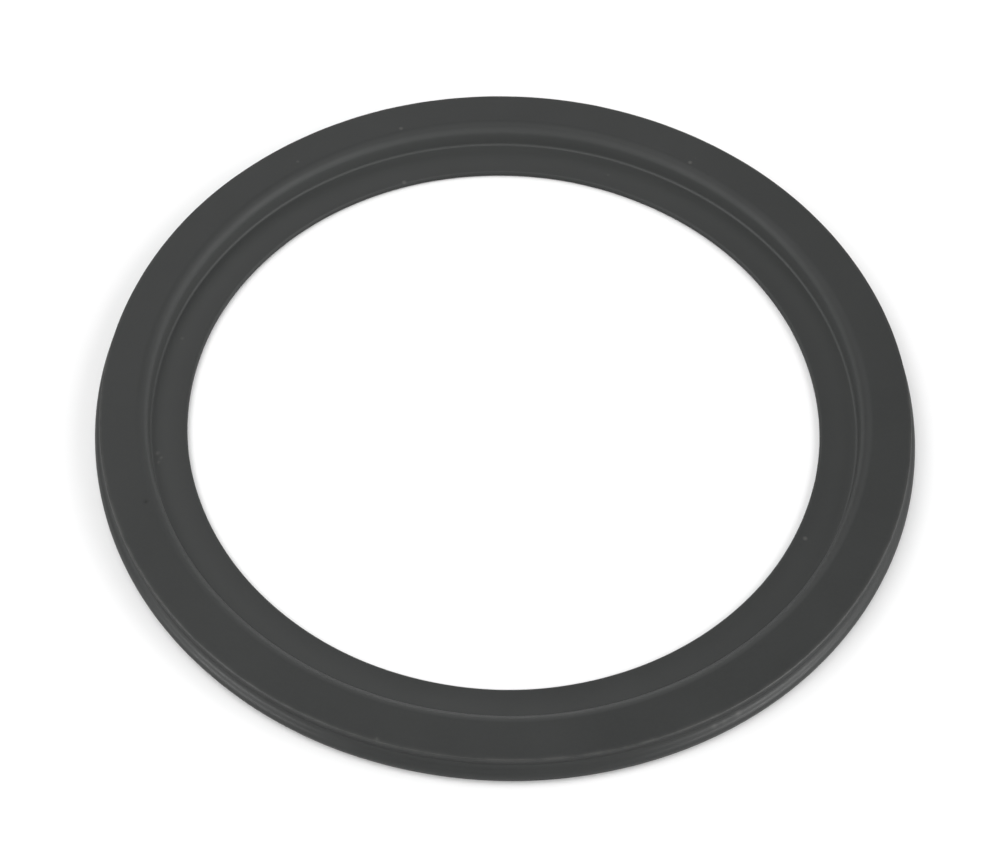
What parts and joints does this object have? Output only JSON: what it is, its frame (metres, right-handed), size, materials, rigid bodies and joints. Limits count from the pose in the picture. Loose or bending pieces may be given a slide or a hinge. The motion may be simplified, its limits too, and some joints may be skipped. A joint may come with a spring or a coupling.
{
  "type": "flush valve seal ring",
  "caption": "Black rubber sealing ring: a thin inner flange round a wide hole, and a raised outer band with a crisp lip over a rounded foot bead.",
  "frame": {"origin": "centre of the hole, in the plane of the flat underside", "axes": "+Z along the hole's axis, from the flat underside towards the raised band's top"},
  "size_m": [0.0918, 0.0918, 0.0038],
  "materials": {
    "rubber": "fine matt moulded rubber, dark grey"
  },
  "bodies": {
    "root": {"seal_ring": "rubber"}
  },
  "joints": []
}
